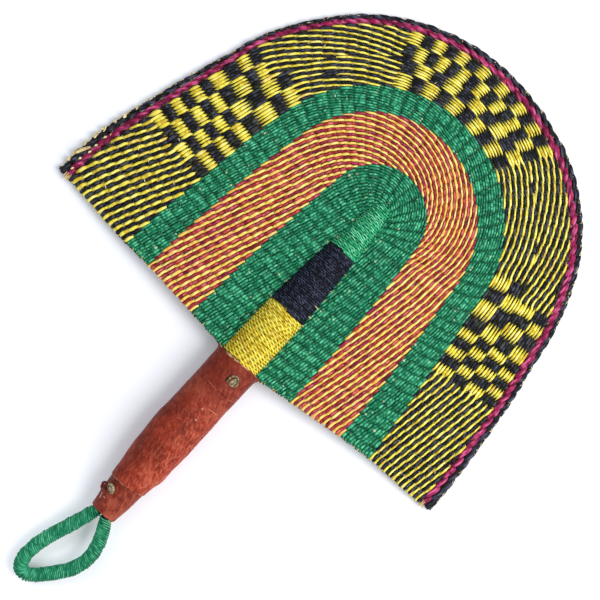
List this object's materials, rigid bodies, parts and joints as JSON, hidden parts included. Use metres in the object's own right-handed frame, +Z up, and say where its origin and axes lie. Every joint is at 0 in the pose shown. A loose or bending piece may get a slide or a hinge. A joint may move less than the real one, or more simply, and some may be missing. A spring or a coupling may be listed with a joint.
{
  "type": "woven hand fan",
  "caption": "Round-topped hand fan woven from dyed grass on straw stakes, with a bound spine, a leather-sleeved grip and a wound hanging loop.",
  "frame": {"origin": "middle of the pressed-flat underside of the leather grip, on the surface that the fan lies on", "axes": "+Y along the grip and spine towards the blade's tip, +Z up out of the blade's shown face, +X to the right of the blade"},
  "size_m": [0.3064, 0.4249, 0.0263],
  "materials": {
    "straw": "dry straw, satin",
    "leather": "worn red-brown goat leather, low sheen",
    "lace": "raw hide lace, matte",
    "green_grass": "dyed grass, slight sheen",
    "yellow_grass": "dyed grass, slight sheen",
    "red_grass": "dyed grass, slight sheen",
    "navy_grass": "dyed grass, slight sheen",
    "magenta_grass": "dyed grass, slight sheen"
  },
  "bodies": {
    "fan": {"bundle_binding_1": "straw", "bundle_binding_2": "straw", "collar_lace_knot": "lace", "cuff_lace_knot": "lace", "green_spine_wrap": "green_grass", "inner_green_weft": "green_grass", "leather_collar": "leather", "leather_cuff": "leather", "leather_grip": "leather", "magenta_edge_weft": "magenta_grass", "navy_rim_weft": "navy_grass", "navy_spine_wrap": "navy_grass", "outer_green_weft": "green_grass", "patterned_weft_inner": "yellow_grass", "patterned_weft_outer": "navy_grass", "red_yellow_weft_inner": "red_grass", "red_yellow_weft_outer": "yellow_grass", "stake_left_1": "straw", "stake_left_2": "straw", "stake_left_3": "straw", "stake_left_4": "straw", "stake_left_5": "straw", "stake_left_6": "straw", "stake_left_7": "straw", "stake_left_8": "straw", "stake_right_1": "straw", "stake_right_2": "straw", "stake_right_3": "straw", "stake_right_4": "straw", "stake_right_5": "straw", "stake_right_6": "straw", "stake_right_7": "straw", "stake_right_8": "straw", "stake_top_01": "straw", "stake_top_02": "straw", "stake_top_03": "straw", "stake_top_04": "straw", "stake_top_05": "straw", "stake_top_06": "straw", "stake_top_07": "straw", "stake_top_08": "straw", "stake_top_09": "straw", "stake_top_10": "straw", "stake_top_11": "straw", "stake_top_12": "straw", "stake_top_13": "straw", "stake_top_14": "straw", "stake_top_15": "straw", "stake_top_16": "straw", "stake_top_17": "straw", "stake_top_18": "straw", "stake_top_19": "straw", "stake_top_20": "straw", "stake_top_21": "straw", "stake_top_22": "straw", "stake_top_23": "straw", "straw_bundle": "straw", "yellow_spine_wrap": "yellow_grass"},
    "loop": {"loop_core": "straw", "loop_winding": "green_grass"}
  },
  "joints": [
    {"name": "loop_bend", "type": "hinge", "parent": "fan", "child": "loop", "pos_m": [0.00225, -0.059, 0.0118], "axis": [1, 0, 0], "range_deg": [-20, 20], "stiffness_Nm_per_rad": 0.05}
  ]
}
